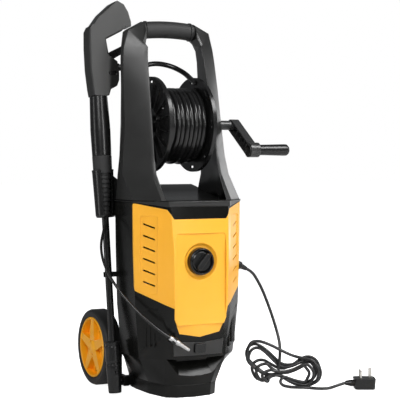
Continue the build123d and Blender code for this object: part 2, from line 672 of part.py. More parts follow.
with BuildPart() as pump_body:
    add(rod((0, MOTOR_Y, 92), (0, MOTOR_Y, 149.8), 46))
    with BuildSketch(Plane(origin=(0, MOTOR_Y, 150), z_dir=(0, 0, 1), x_dir=(1, 0, 0))):
        with PolarLocations(PISTON_RING, 3):
            Circle(7.05)
    extrude(amount=-50, mode=Mode.SUBTRACT)
    # Bell that joins the pump to the motor, round the swash plate.
    add(turned((0, MOTOR_Y, 149.8), (0, 0, 1), [(40, 0), (46, 0), (46, 64), (8, 64), (8, 56), (40, 54)]))
save(pump_body, "pump_body")
with BuildPart() as pistons:
    with BuildSketch(Plane(origin=(0, MOTOR_Y, 104), z_dir=(0, 0, 1), x_dir=(1, 0, 0))):
        with PolarLocations(PISTON_RING, 3):
            Circle(7)
    extrude(amount=60)
save(pistons, "pistons")
with BuildPart() as pump_head:
    add(rod((0, MOTOR_Y, 56), (0, MOTOR_Y, 91.8), 44))
    add(rod((0, -10, 74), (0, 8, 74), 14))
    add(rod((-36, MOTOR_Y, 74), (-62, MOTOR_Y, 74), 11))
    # Suction pipe that bends up and back to the water inlet.
    with BuildLine() as inlet_line:
        FilletPolyline((0, 6, 74), (0, 26, 74), (0, 34, INLET_Z), (0, 52.2, INLET_Z), radius=[14, 12])
    with BuildSketch(Plane(origin=inlet_line.line @ 0, z_dir=inlet_line.line % 0)):
        Circle(8)
    sweep(path=inlet_line.line)
save(pump_head, "pump_head")

# Water inlet: a hose tail behind the rear housing.
with BuildPart() as water_inlet:
    add(turned((0, 52.2, INLET_Z), (0, 1, 0),
               [(0, 0), (17, 0), (17, 16), (12, 18), (12, 24), (8.5, 25), (8.5, 46), (7, 48), (4.5, 48), (4.5, 6), (0, 6)]))
save(water_inlet, "water_inlet")
with BuildPart() as outlet_pipe:
    with BuildLine() as outlet_line:
        FilletPolyline((-62.2, MOTOR_Y, 74), (-80, MOTOR_Y, 74), (-88, MOTOR_Y, 96), (-88, MOTOR_Y, 170),
                       (-80, -40, 300), (-80, -40, 424), radius=[14, 14, 60, 60])
    with BuildSketch(Plane(origin=outlet_line.line @ 0, z_dir=outlet_line.line % 0)):
        Circle(7)
    sweep(path=outlet_line.line)
save(outlet_pipe, "outlet_pipe")

# ---------------------------------------------------------------- gun, lance and holder
TRIGGER_PIVOT = (24.0, 768.0)
LOCK_PLACE = (32.0, 728.0)
with BuildPart() as gun_shell:
    with BuildSketch(lance_plane(0, -19)):
        with BuildLine():
            Polyline((2, 675), (-17, 676), (-21, 697), (-24, 736), (-24, 786), (-22, 824), (-14, 838), (-9, 839.5),
                     (12, 867), (41, 892), (52, 897), (68, 889), (78, 872), (84, 849), (84, 838), (69, 837), (60, 826),
                     (20, 806), (25, 768), (44, 755), (47, 728), (46, 712), (40, 698), (24, 690), (19, 676),
                     close=True)
        make_face()
    extrude(amount=38)
    fillet(gun_shell.edges().filter_by(lambda e: abs((e.position_at(0) - e.position_at(1)).normalized().dot(
        lance_plane().z_dir)) < 0.5).sort_by(lambda e: -e.length)[:10], 4)
    # Slot for the trigger's root with its pivot pin, and the lock slider's recess.
    with BuildSketch(lance_plane(0, -6.6)):
        Polygon((12, 776), (12, 756), (26, 748), (56, 746), (60, 770), (26, 784), align=None)
    extrude(amount=13.2, mode=Mode.SUBTRACT)
    add(rod(on_lance(*TRIGGER_PIVOT, -16), on_lance(*TRIGGER_PIVOT, 16), 2))
    with BuildSketch(lance_plane(0, 13)):
        with Locations(LOCK_PLACE):
            SlotOverall(22.8, 8.8)
    extrude(amount=10, mode=Mode.SUBTRACT)
    add(post_parts[0], mode=Mode.SUBTRACT)
save(gun_shell, "gun_shell")

with BuildPart() as trigger:
    with BuildSketch(lance_plane(0, -6)):
        Polygon((22, 774), (21, 761), (30, 757), (66, 777), (70, 786), (66, 795), (60, 792), align=None)
        with Locations(TRIGGER_PIVOT):
            Circle(6.5)
            Circle(2.06, mode=Mode.SUBTRACT)
    extrude(amount=12)
save(trigger, "trigger")

with BuildPart() as trigger_lock:
    with BuildSketch(lance_plane(0, 13.4)):
        with Locations((LOCK_PLACE[0] - 3, LOCK_PLACE[1])):
            SlotOverall(15, 8)
    extrude(amount=8)
save(trigger_lock, "trigger_lock")

with BuildPart() as gun_hose_inlet:
    add(turned(on_lance(47.2, 744), on_lance(1, 0) - on_lance(0, 0),
               [(0, 0), (9.5, 0), (9.5, 7), (7.6, 8), (7.6, 16), (9, 17), (9, 21.5), (0, 21.5)]))
save(gun_hose_inlet, "gun_hose_inlet")

with BuildPart() as wand:
    add(turned(LANCE_FOOT, LANCE_AXIS, [(0, 538), (22, 538), (23, 598), (20.5, 674.8), (0, 674.8)]))
save(wand, "wand")
with BuildPart() as wand_boot:
    profile = [(0, 401), (9.2, 401)]
    for i in range(9):
        low, high = 404 + i * 10.2, 404 + i * 10.2 + 6
        radius = 9.2 + 7.0 * i / 8
        profile += [(radius + 1.6, low), (radius + 1.6, high), (radius, high + 1), (radius + 0.4, high + 3)]
    profile += [(17, 497.7), (21.5, 498), (22.3, 537.7), (0, 537.7)]
    add(turned(LANCE_FOOT, LANCE_AXIS, profile))
    # Bayonet slot in the collar.
    with BuildSketch(lance_plane(0, 14)):
        Polygon((9, 538), (9, 514), (16, 514), (16, 520), (13, 520), (13, 538), align=None)
    extrude(amount=14, mode=Mode.SUBTRACT)
    add(rod(on_lance(0, 300), on_lance(0, 440), 8), mode=Mode.SUBTRACT)
save(wand_boot, "wand_boot")
with BuildPart() as lance_tube:
    add(rod(on_lance(0, 100), on_lance(0, 440), 8, 5))
save(lance_tube, "lance_tube")
with BuildPart() as nozzle_body:
    add(turned(LANCE_FOOT, LANCE_AXIS,
               [(8.05, 60), (17, 60), (17, 64), (16, 65), (16, 70), (17.4, 72), (17.4, 104), (16.2, 106), (16.2, 110),
                (17.2, 111), (17.2, 114), (9, 117), (8.05, 117)]))
    add(turned(LANCE_FOOT, LANCE_AXIS, [(0, 60), (9, 60), (9, 99.8), (0, 99.8)]))
save(nozzle_body, "nozzle_body")
with BuildPart() as nozzle_tip:
    add(turned(LANCE_FOOT, LANCE_AXIS,
               [(0, 12), (10, 12), (11.6, 0.5), (13.4, 0), (14.8, 2), (17, 52), (17, 59.6), (0, 59.6)]))
    with BuildSketch(lance_plane(47, 10)):
        Rectangle(9, 9)
        Rectangle(4.5, 4.5, mode=Mode.SUBTRACT)
    extrude(amount=20, mode=Mode.SUBTRACT)
save(nozzle_tip, "nozzle_tip")

# Holder cup on the left side, open at the front for the wand's boot.
with BuildPart() as holder_cup:
    add(turned(LANCE_FOOT, LANCE_AXIS,
               [(13, 398), (19.6, 398), (21.6, 402), (24.3, 500), (25.2, 506), (22.4, 506), (21.9, 499), (18.3, 410), (13, 406)]))
    with BuildSketch(lance_plane(0, 2)):
        Polygon((-9, 390), (9, 390), (14, 520), (-14, 520), align=None)
    extrude(amount=40, mode=Mode.SUBTRACT)
    with BuildSketch(lance_plane(0, -8)):
        Polygon((18, 404), (40, 392), (40, 478), (23, 492), align=None)
    extrude(amount=14)
    add(turned(LANCE_FOOT, LANCE_AXIS, [(0, 380), (18.2, 380), (18.2, 410), (21.8, 499), (22.4, 520), (0, 520)]),
        mode=Mode.SUBTRACT)
    add(body_block, mode=Mode.SUBTRACT)
    add(top_deck.part, mode=Mode.SUBTRACT)
    add(stacked([(h, [(-x, y) for x, y in points]) for h, points in POST_LEVELS[:2]]), mode=Mode.SUBTRACT)
    add(post_parts[0], mode=Mode.SUBTRACT)
    cup_solid = holder_cup.solids().sort_by(SortBy.VOLUME)[-1]
with BuildPart() as holder_cup:
    add(cup_solid)
save(holder_cup, "holder_cup")

CLIP_ALONG = 268.0
clip_point = on_lance(0, CLIP_ALONG)
with BuildPart() as lance_clip:
    add(rod(on_lance(0, CLIP_ALONG - 6), on_lance(0, CLIP_ALONG + 6), 11.5, 8.2))
    with Locations((-136, clip_point.Y, clip_point.Z)):
        Box(14, 9, 11)
    add(rod(on_lance(0, CLIP_ALONG - 20), on_lance(0, CLIP_ALONG + 20), 8.2), mode=Mode.SUBTRACT)
    with BuildSketch(Plane(origin=on_lance(-12, CLIP_ALONG - 12), x_dir=(1, 0, 0), z_dir=LANCE_AXIS)):
        Rectangle(12, 11)
    extrude(amount=24, mode=Mode.SUBTRACT)
    add(body_block, mode=Mode.SUBTRACT)
    clip_solid = lance_clip.solids().sort_by(SortBy.VOLUME)[-1]
with BuildPart() as lance_clip:
    add(clip_solid)
save(lance_clip, "lance_clip")

# ---------------------------------------------------------------- cords and what is on them
# Free stretch of the high-pressure hose, from the gun to the top of the wound turns.
gun_port = on_lance(68.8, 744)
after_port = on_lance(104, 744)
HOSE_ROUTE = [(gun_port.X, gun_port.Y, gun_port.Z), (after_port.X, after_port.Y, after_port.Z), (-12, 38, 757), (25, 26, 752), (50, 0, 735),
              (54, -34, 715), (50, -60, 706)]
cord_tube("free_hose", HOSE_ROUTE, HOSE_D)

# Thin flexible hose from the foot of the boot to the parked metal tip.
hose_start = on_lance(-2, 398, 14)
THIN_ROUTE = [(hose_start.X, hose_start.Y, hose_start.Z), (-166, -26, 372), (-181, -42, 338), (-185, -68, 300),
              (-176, -98, 262), (-158, -126, 226), (-133, -156, 190), (-106, -178, 161), TIP_START]
cord_tube("thin_hose", THIN_ROUTE, THIN_HOSE_D)
with BuildPart() as metal_tip:
    add(turned(TIP_START, tip_direction, [(0, 0.6), (5, 0.6), (5.5, 1.4), (5.5, 26), (5, 27), (3.9, 30), (3.6, 52),
                                          (2.6, 54.5), (0, 54.5)]))
save(metal_tip, "metal_tip")

# Mains lead: gland on the right side, free drop, tied hank, and a short stretch to the plug.
GLAND_START = Vector(138.4, GLAND_Y, GLAND_Z)
GLAND_DIR = Vector(0.90, 0.0, -0.43).normalized()
gland_end = GLAND_START + GLAND_DIR * 24
after_gland = GLAND_START + GLAND_DIR * 40
with BuildPart() as cable_gland:
    add(rod((128, GLAND_Y, GLAND_Z), (140, GLAND_Y, GLAND_Z), 8))
    add(turned(GLAND_START, GLAND_DIR, [(0, 0), (9, 0), (9, 6), (6.6, 9), (4.6, 23.9), (0, 23.9)]))
save(cable_gland, "cable_gland")
HANK_PLACE = (154.0, -110.0)
HANK_RUN = Vector(0.886, -0.464, 0).normalized()
CABLE_ROUTE = [(gland_end.X, gland_end.Y, gland_end.Z), (after_gland.X, after_gland.Y, after_gland.Z),
               (187, -104, 254), (202, -107, 226), (217, -115, 182), (227, -128, 136), (227, -145, 101)]
cord_tube("mains_lead", CABLE_ROUTE, CABLE_D)
# The tied loops stand on the floor beside the machine; outline along their run and upwards.
with BuildPart() as lead_hank:
    with BuildSketch(Plane(origin=(HANK_PLACE[0], HANK_PLACE[1], 0), x_dir=HANK_RUN,
                           z_dir=HANK_RUN.cross(Vector(0, 0, 1)))):
        with BuildLine():
            Polyline((2, 40), (26, 24), (66, 18), (112, 4), (136, 1), (168, 4), (182, 34), (178, 60), (150, 78),
                     (118, 70), (104, 84), (80, 101), (50, 116), (24, 117), (2, 106), (-5, 76), close=True)
        make_face()
    extrude(amount=20, both=True)
save(lead_hank, "lead_hank")

PLUG_DEPTH = 24.0
PLUG_FLOOR = 1.0
LEAD_ROUTE = [(272, -192, 5), (288, -212, 4), (312, -221, 4), (338, -216, 8), (358, -220, 13)]
cord_tube("plug_lead", LEAD_ROUTE, CABLE_D)
lead_end = Vector(*LEAD_ROUTE[-1])
plug_centre = lead_end + HANK_RUN * 44 + Vector(0, 0, PLUG_FLOOR - lead_end.Z)


def plug_plane(height):
    """Level plane over the plug's middle, its x axis running away from the lead."""
    return Plane(origin=plug_centre + Vector(0, 0, height), x_dir=HANK_RUN, z_dir=(0, 0, 1))


with BuildPart() as plug_body:
    with BuildSketch(plug_plane(0)):
        RectangleRounded(46, 47, 8)
    with BuildSketch(plug_plane(PLUG_DEPTH)):
        RectangleRounded(50, 50, 9)
    loft()
    add(turned(lead_end, HANK_RUN, [(0, 0), (5, 0), (7.5, 13), (7.5, 24), (0, 24)]))
save(plug_body, "plug_body")
with BuildPart() as plug_pins:
    with BuildSketch(plug_plane(PLUG_DEPTH)):
        with Locations((13, 0)):
            Rectangle(8, 4)
    extrude(amount=22.7)
    with BuildSketch(plug_plane(PLUG_DEPTH)):
        with Locations((-9, -11.1), (-9, 11.1)):
            Rectangle(4, 6.3)
    extrude(amount=17.7)
save(plug_pins, "plug_pins")
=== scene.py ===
import json
from math import cos, pi, radians, sin

import bmesh
import bpy
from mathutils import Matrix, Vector


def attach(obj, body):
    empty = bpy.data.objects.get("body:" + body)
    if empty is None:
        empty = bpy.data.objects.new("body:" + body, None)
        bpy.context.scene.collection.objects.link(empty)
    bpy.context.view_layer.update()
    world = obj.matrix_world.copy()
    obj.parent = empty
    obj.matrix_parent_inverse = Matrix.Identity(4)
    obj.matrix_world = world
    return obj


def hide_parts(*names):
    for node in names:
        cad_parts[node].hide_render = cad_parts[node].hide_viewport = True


# Upright pressure washer on its wheels. Metres, +X right, -Y front, +Z up.
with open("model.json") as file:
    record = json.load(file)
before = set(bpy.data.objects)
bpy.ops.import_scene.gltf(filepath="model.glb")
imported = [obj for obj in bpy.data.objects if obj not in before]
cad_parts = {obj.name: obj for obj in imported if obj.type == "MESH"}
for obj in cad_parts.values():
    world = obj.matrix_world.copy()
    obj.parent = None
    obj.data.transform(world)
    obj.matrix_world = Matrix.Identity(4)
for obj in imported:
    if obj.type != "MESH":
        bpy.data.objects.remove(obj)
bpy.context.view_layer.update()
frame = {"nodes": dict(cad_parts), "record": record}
NODES = frame["nodes"]
BODY_OF = {name: body for body, names in frame["record"]["behaviour"]["bodies"].items() for name in names}
SLOT_OF = {part["node"]: part["material_slot"] for part in frame["record"]["subparts"]}
MM = 0.001

# Shading that the materials share.
GRAIN_DEPTH = 0.4 * MM
COAT_ROUGHNESS = 0.12
BEVEL_SAMPLES = 4
# Cosine between rounded and flat normal where an edge's painted highlight is full, and where it ends.
SHEEN_FULL_AT, SHEEN_ENDS_AT = 0.82, 0.99
# How far smudges and grain swing the roughness.
SMUDGE_SWING, GRAIN_SWING = 0.02, 0.015
# How much brighter the painted highlight on an edge is than the colour of its face.
SHEEN_GAIN, SHEEN_LIFT = 1.5, 0.02

# ---------------------------------------------------------------- camera
AZIMUTH = radians(27.64)
PITCH = radians(1.92)
look = Vector((sin(AZIMUTH) * cos(PITCH), cos(AZIMUTH) * cos(PITCH), -sin(PITCH)))
camera_data = bpy.data.cameras.new("camera")
camera_data.lens = 117
camera_data.sensor_width = 36
camera_data.dof.use_dof = False
camera = bpy.data.objects.new("camera", camera_data)
camera.location = (-1.332, -2.721, 0.538)
camera.rotation_euler = look.to_track_quat("-Z", "Y").to_euler()
bpy.context.scene.collection.objects.link(camera)
bpy.context.scene.camera = camera


# ---------------------------------------------------------------- materials
MATERIALS = {}


def surface(name, colour, tint, rough=0.45, metal=0.0, coat=0.0, grain=700.0, bump=0.12, cloud=9.0,
            edge=0.0008, stretch=(1, 1, 1), edge_sheen=0.25, shine=0.5):
    """Material with fine grain, slow changes of colour and shine, and rounded edges with a painted
    highlight.
    """
    material = bpy.data.materials.new(name)
    material.use_nodes = True
    tree = material.node_tree
    nodes, links = tree.nodes, tree.links
    shader = nodes["Principled BSDF"]
    shader.inputs["Metallic"].default_value = metal
    shader.inputs["Coat Weight"].default_value = coat
    shader.inputs["Coat Roughness"].default_value = COAT_ROUGHNESS
    shader.inputs["Specular IOR Level"].default_value = shine
    where = nodes.new("ShaderNodeTexCoord")
    scaled = nodes.new("ShaderNodeMapping")
    scaled.inputs["Scale"].default_value = stretch
    links.new(where.outputs["Object"], scaled.inputs["Vector"])

    def noise(scale, detail, distortion=0.0):
        texture = nodes.new("ShaderNodeTexNoise")
        texture.inputs["Scale"].default_value = scale
        texture.inputs["Detail"].default_value = detail
        texture.inputs["Distortion"].default_value = distortion
        links.new(scaled.outputs["Vector"], texture.inputs["Vector"])
        return texture.outputs["Fac"]

    def spread(value, low, high, start=0.3, end=0.7):
        ranged = nodes.new("ShaderNodeMapRange")
        ranged.inputs["From Min"].default_value = start
        ranged.inputs["From Max"].default_value = end
        ranged.inputs["To Min"].default_value = low
        ranged.inputs["To Max"].default_value = high
        links.new(value, ranged.inputs["Value"])
        return ranged.outputs["Result"]

    clouds = noise(cloud, 5.0, 0.3)
    fine = noise(grain, 3.0)
    smudge = noise(cloud * 5, 6.0, 1.2)

    blend = nodes.new("ShaderNodeMix")
    blend.data_type = "RGBA"
    blend.inputs["A"].default_value = (*colour, 1)
    blend.inputs["B"].default_value = (*tint, 1)
    links.new(spread(clouds, 0.0, 1.0), blend.inputs["Factor"])

    relief = nodes.new("ShaderNodeBump")
    relief.inputs["Strength"].default_value = bump
    relief.inputs["Distance"].default_value = GRAIN_DEPTH
    links.new(fine, relief.inputs["Height"])
    links.new(relief.outputs["Normal"], shader.inputs["Normal"])
    if edge > 0:
        # Edges are rounded in shading, and a painted highlight colours them brighter than the faces beside
        # them.
        rounded = nodes.new("ShaderNodeBevel")
        rounded.samples = BEVEL_SAMPLES
        rounded.inputs["Radius"].default_value = edge
        links.new(rounded.outputs["Normal"], relief.inputs["Normal"])
        facing = nodes.new("ShaderNodeNewGeometry")
        bent = nodes.new("ShaderNodeVectorMath")
        bent.operation = "DOT_PRODUCT"
        links.new(rounded.outputs["Normal"], bent.inputs[0])
        links.new(facing.outputs["Normal"], bent.inputs[1])
        painted_edge_sheen = nodes.new("ShaderNodeMix")
        painted_edge_sheen.data_type = "RGBA"
        links.new(spread(bent.outputs["Value"], edge_sheen, 0.0, SHEEN_FULL_AT, SHEEN_ENDS_AT), painted_edge_sheen.inputs["Factor"])
        links.new(blend.outputs["Result"], painted_edge_sheen.inputs["A"])
        sheen_colour = [min(1.0, channel * SHEEN_GAIN + SHEEN_LIFT) for channel in colour]
        painted_edge_sheen.inputs["B"].default_value = (*sheen_colour, 1)
        links.new(painted_edge_sheen.outputs["Result"], shader.inputs["Base Color"])
    else:
        links.new(blend.outputs["Result"], shader.inputs["Base Color"])

    gloss = nodes.new("ShaderNodeMath")
    gloss.operation = "ADD"
    links.new(spread(smudge, -SMUDGE_SWING, SMUDGE_SWING), gloss.inputs[0])
    links.new(spread(fine, rough - GRAIN_SWING, rough + GRAIN_SWING), gloss.inputs[1])
    links.new(gloss.outputs["Value"], shader.inputs["Roughness"])
    MATERIALS[name] = material
    return material


surface("yellow_cover", (0.88, 0.405, 0.021), (0.93, 0.445, 0.032), 0.34, coat=0.12, bump=0.05,
        edge=0.0015, edge_sheen=0.3)
surface("yellow_rim", (0.95, 0.41, 0.006), (1.0, 0.46, 0.010), 0.4, bump=0.07, edge_sheen=0.3)
surface("black_housing", (0.0035, 0.0035, 0.003), (0.006, 0.006, 0.0055), 0.22, bump=0.015, edge=0.0018,
        edge_sheen=0.3, shine=0.2)
surface("black_frame", (0.012, 0.012, 0.0115), (0.017, 0.017, 0.0165), 0.33, bump=0.015, edge=0.0025,
        edge_sheen=0.2, shine=0.5)
surface("black_trim", (0.005, 0.005, 0.005), (0.009, 0.009, 0.009), 0.25, bump=0.02, shine=0.4)
surface("soft_grip", (0.010, 0.010, 0.010), (0.017, 0.017, 0.017), 0.62, grain=420, bump=0.12)
surface("grey_gun", (0.016, 0.016, 0.015), (0.022, 0.022, 0.021), 0.32, bump=0.04, shine=0.5)
surface("dark_metal", (0.035, 0.035, 0.035), (0.05, 0.05, 0.05), 0.3, metal=0.35, bump=0.03)
surface("tyre", (0.009, 0.009, 0.009), (0.016, 0.016, 0.0155), 0.5, grain=520, bump=0.25, cloud=14,
        shine=0.4)
surface("hose_rubber", (0.006, 0.006, 0.006), (0.010, 0.010, 0.010), 0.2, bump=0.005, cloud=20, edge=0,
        shine=0.4)
surface("cable_pvc", (0.012, 0.012, 0.013), (0.018, 0.018, 0.019), 0.3, bump=0.005, cloud=20, edge=0)
surface("zinc_steel", (0.55, 0.55, 0.56), (0.66, 0.66, 0.66), 0.3, metal=1.0, bump=0.2,
        stretch=(0.05, 1, 1))
surface("iron_lamination", (0.25, 0.25, 0.25), (0.33, 0.32, 0.31), 0.45, metal=1.0,
        stretch=(0.05, 0.05, 1), bump=0.4)
surface("pump_alloy", (0.26, 0.26, 0.265), (0.32, 0.32, 0.32), 0.55, metal=1.0, grain=300, bump=0.5)
surface("tip_metal", (0.50, 0.50, 0.50), (0.60, 0.60, 0.60), 0.3, metal=1.0, bump=0.1)
surface("brass", (0.76, 0.56, 0.26), (0.84, 0.65, 0.34), 0.28, metal=1.0, bump=0.06)
surface("nickel", (0.62, 0.60, 0.56), (0.72, 0.70, 0.66), 0.24, metal=1.0, bump=0.05)


# ---------------------------------------------------------------- pieces
SAME_POINT = 0.002 * MM
SAME_PLANE = radians(0.6)
SHARP = radians(24)


def softened(node, width, segments, material):
    """Copy of a node with its sharp edges rounded, which moves with its body and stands for it."""
    mesh = NODES[node].data.copy()
    mesh.name = node + "_soft"
    shape = bmesh.new()
    shape.from_mesh(mesh)
    bmesh.ops.remove_doubles(shape, verts=shape.verts, dist=SAME_POINT)
    bmesh.ops.dissolve_limit(shape, angle_limit=SAME_PLANE, verts=shape.verts, edges=shape.edges)
    shape.to_mesh(mesh)
    shape.free()
    for polygon in mesh.polygons:
        polygon.use_smooth = True
    piece = bpy.data.objects.new(node + "_soft", mesh)
    bpy.context.scene.collection.objects.link(piece)
    bevel = piece.modifiers.new("bevel", "BEVEL")
    bevel.width = width * MM
    bevel.segments = segments
    bevel.limit_method = "ANGLE"
    bevel.angle_limit = SHARP
    bevel.use_clamp_overlap = True
    bevel.harden_normals = True
    normals = piece.modifiers.new("normals", "WEIGHTED_NORMAL")
    normals.keep_sharp = True
    bpy.context.view_layer.objects.active = piece
    graph = bpy.context.evaluated_depsgraph_get()
    final = bpy.data.meshes.new_from_object(piece.evaluated_get(graph))
    piece.modifiers.clear()
    piece.data = final
    piece.data.materials.clear()
    piece.data.materials.append(MATERIALS[material or SLOT_OF[node]])
    bpy.context.view_layer.update()
    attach(piece, BODY_OF[node])
    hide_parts(node)
    return piece


def cord_curve(name, points, diameter, material, body, *nodes):
    """Round cord along given control points, in millimetres. It rides a body and stands for nodes."""
    curve = bpy.data.curves.new(name, "CURVE")
    curve.dimensions = "3D"
    curve.resolution_u = 8
    curve.bevel_depth = diameter / 2 * MM
    curve.bevel_resolution = 5
    curve.use_fill_caps = True
    spline = curve.splines.new("NURBS")
    spline.points.add(len(points) - 1)
    for target, point in zip(spline.points, points):
        target.co = (point[0] * MM, point[1] * MM, point[2] * MM, 1)
    spline.order_u = 3
    spline.use_endpoint_u = True
    curve.materials.append(MATERIALS[material])
    cord = bpy.data.objects.new(name, curve)
    bpy.context.scene.collection.objects.link(cord)
    bpy.context.view_layer.update()
    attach(cord, body)
    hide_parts(*nodes)
    return cord


# ---------------------------------------------------------------- cords
CABLE_DIAMETER, HOSE_DIAMETER, THIN_HOSE_DIAMETER = 7, 12, 6

HANK_START = Vector((154, -110, 0))
HANK_RUN = Vector((0.886, -0.464, 0)).normalized()
HANK_OUT = HANK_RUN.cross(Vector((0, 0, 1)))


def on_hank(along, height, out):
    """Point of the tied loops: along their run from beside the machine, up, and towards the front."""
    place = HANK_START + HANK_RUN * along + HANK_OUT * out
    return (place.x, place.y, height)


# Each turn: left end, its height, the top there, height of the upper strand at the tie,
# right end, top of the right lobe, lowest strand, and how far out it lies.
HANK_TURNS = [
    (1, 70, 112, 92, 172, 70, 5, 3),
    (13, 44, 66, 46, 177, 74, 6, -12),
    (5, 66, 96, 50, 166, 66, 12, -4),
    (36, 30, 46, 42, 160, 60, 8, 12),
    (0, 76, 104, 58, 178, 62, 4.5, -9),
    (22, 40, 60, 38, 150, 56, 14, 8),
]
cable = [(160.1, -103, 277.7), (174.5, -103, 270.8), (187, -104, 254), (202, -107, 226), (217, -115, 182),
         (227, -128, 136), (227, -145, 101), on_hank(80, 72, 4)]
for left, left_height, left_top, tie, right, right_top, low, out in HANK_TURNS:
    cable += [
        on_hank(76, 30 + low * 0.4, out * 0.5),
        on_hank(54, 24 + low * 0.5, out * 0.8),
        on_hank(left + 16, left_height - 20 if left_height > 45 else 14, out),
        on_hank(left, left_height, out + 2),
        on_hank(left + 8, left_top - 5, out + 1),
        on_hank(left + 28, left_top, out),
        on_hank(58, (left_top + tie) / 2, out * 0.8),
        on_hank(84, tie - 4, out * 0.5),
        on_hank(112, (tie + right_top) / 2 - 6, out * 0.7),
        on_hank(138, right_top, out),
        on_hank(right - 12, right_top - 5, out + 1),
        on_hank(right, 38, out + 2),
        on_hank(right - 8, low + 8, out + 1),
        on_hank(138, low, out),
        on_hank(108, low + 7, out * 0.7),
    ]
cable += [on_hank(88, 30, 6), on_hank(78, 16, 14), on_hank(92, 6, 18), (272, -192, 5), (288, -212, 4),
          (312, -221, 4), (338, -216, 8), (358, -220, 13)]
mains_lead = cord_curve("mains_cable", cable, CABLE_DIAMETER, "cable_pvc", "chassis",
                        "mains_lead", "lead_hank", "plug_lead")

free_points = [(-84.8, 39.7, 743.8), (-49.6, 39.8, 744.1), (-12, 38, 757), (25, 26, 752), (50, 0, 735),
               (54, -34, 715), (50, -60, 706)]
free_hose = cord_curve("free_hose_run", free_points, HOSE_DIAMETER, "hose_rubber", "chassis", "free_hose")

thin_points = [(-152.5, -13.6, 401), (-166, -26, 372), (-181, -42, 338), (-185, -68, 300), (-176, -98, 262),
               (-158, -126, 226), (-133, -156, 190), (-106, -178, 161), (-80, -186, 143)]
thin_hose = cord_curve("thin_hose_run", thin_points, THIN_HOSE_DIAMETER, "hose_rubber", "chassis",
                       "thin_hose")

# Wound turns on the drum: an inner layer, then an outer one that hangs a little loose. Millimetres.
REEL_Y, REEL_Z = -40, 611
TURNS = 8
TURN_POINTS = 16
LAYER_STEPS = TURNS * TURN_POINTS
HALF_WIDTH = 43.5
END_ANGLE = radians(104)
# Radius of the inner and the outer layer, and for each turn how far it sags and how far it strays sideways.
LAYERS = [
    (61.5, [(0.0, 0.0)] * TURNS),
    (79.5, [(0.5, 0.0), (5.5, 1.2), (3.0, -1.0), (7.0, 0.8),
            (4.2, -1.3), (7.5, 1.0), (2.4, -0.6), (3.5, 0.4)]),
]


def on_reel(across, reach, angle):
    """Point at a distance from the reel's axis, at an angle up from the rear."""
    return (across, REEL_Y + reach * cos(angle), REEL_Z + reach * sin(angle))


wound = []
for layer, (radius, looseness) in enumerate(LAYERS):
    for step in range(LAYER_STEPS):
        share = step / LAYER_STEPS
        across = HALF_WIDTH * (1 - 2 * share) * (1 if layer == 0 else -1)
        angle = END_ANGLE + 2 * pi * ((2 - layer) * LAYER_STEPS - step) / TURN_POINTS
        slack, sway = looseness[step // TURN_POINTS]
        wound.append(on_reel(across + sway * sin(angle), radius + slack * (1 - sin(angle)) / 2, angle))
# The outer end lies just under the end of the free stretch.
wound.append(on_reel(46, 82, END_ANGLE))
cord_curve("wound_hose", wound, HOSE_DIAMETER, "hose_rubber", "reel", "hose_coil")

# ---------------------------------------------------------------- carried-over nodes with softened edges
# Node, bevel width in millimetres, bevel segments, and the material where it isn't the node's own.
PIECES = [
    ("front_cover", 1.6, 3, None), ("front_housing", 2.4, 3, None), ("rear_housing", 1.6, 2, None),
    ("base_tray", 2.0, 2, None), ("front_band", 0.8, 2, "black_frame"), ("band_button", 0.5, 2, None),
    ("knob", 1.0, 2, None), ("knob_ring", 0.9, 2, None), ("top_deck", 1.2, 2, None),
    ("left_post", 7.0, 5, None), ("right_post", 7.0, 5, None), ("handle_bar", 0.8, 2, "soft_grip"),
    ("holder_cup", 0.8, 2, None), ("lance_clip", 0.7, 2, None), ("tip_clip", 0.6, 2, None),
    ("left_reel_flange", 0.6, 2, None), ("right_reel_flange", 0.6, 2, None), ("reel_drum", 0.5, 2, None),
    ("reel_shaft", 0.5, 2, "dark_metal"), ("crank_arm", 0.8, 2, "dark_metal"), ("crank_grip", 1.0, 2, None),
    ("left_tyre", 1.0, 2, None), ("right_tyre", 1.0, 2, None), ("left_rim", 1.0, 2, None),
    ("right_rim", 1.0, 2, None), ("gun_shell", 3.0, 3, None), ("trigger", 1.2, 2, None),
    ("trigger_lock", 0.8, 2, None), ("gun_hose_inlet", 0.4, 2, "black_trim"), ("wand", 1.2, 3, None),
    ("wand_boot", 0.7, 2, "soft_grip"), ("lance_tube", 0.3, 2, None), ("nozzle_body", 0.6, 2, None),
    ("nozzle_tip", 0.6, 2, None), ("metal_tip", 0.3, 2, None), ("cable_gland", 0.5, 2, None),
    ("plug_body", 2.4, 3, None), ("plug_pins", 0.3, 2, "nickel"), ("water_inlet", 0.6, 2, None),
    ("reel_bushes", 0.6, 2, None), ("housing_screws", 0.2, 1, None), ("wheel_axle", 0.4, 2, None),
]
SHOWN = {}
for node, width, segments, material in PIECES:
    SHOWN[node] = softened(node, width, segments, material)

# A dark liner of thin bars behind the rear louvres is painted shade: it keeps the slots as dark as the
# shaded inside of the housing.
SHADE_BARS = 25
SHADE_WIDTH, BAR_DEPTH, BAR_HEIGHT = 0.1, 0.0008, 0.0038
SHADE_Y, SHADE_LOW, SHADE_HIGH = 0.059, 0.148, 0.244
housing = SHOWN["rear_housing"].data
shade_liner = bmesh.new()
shade_liner.from_mesh(housing)
for count in range(SHADE_BARS):
    height = SHADE_LOW + (SHADE_HIGH - SHADE_LOW) * count / (SHADE_BARS - 1)
    shade_bar = bmesh.ops.create_cube(shade_liner, size=1.0)["verts"]
    bmesh.ops.scale(shade_liner, verts=shade_bar, vec=(SHADE_WIDTH, BAR_DEPTH, BAR_HEIGHT))
    bmesh.ops.translate(shade_liner, verts=shade_bar, vec=(0, SHADE_Y, height))
shade_liner.to_mesh(housing)
shade_liner.free()


def two_tone(node, material, chosen):
    """Give the faces that are chosen a second material."""
    mesh = SHOWN[node].data
    mesh.materials.append(MATERIALS[material])
    for face in mesh.polygons:
        if chosen(face):
            face.material_index = 1


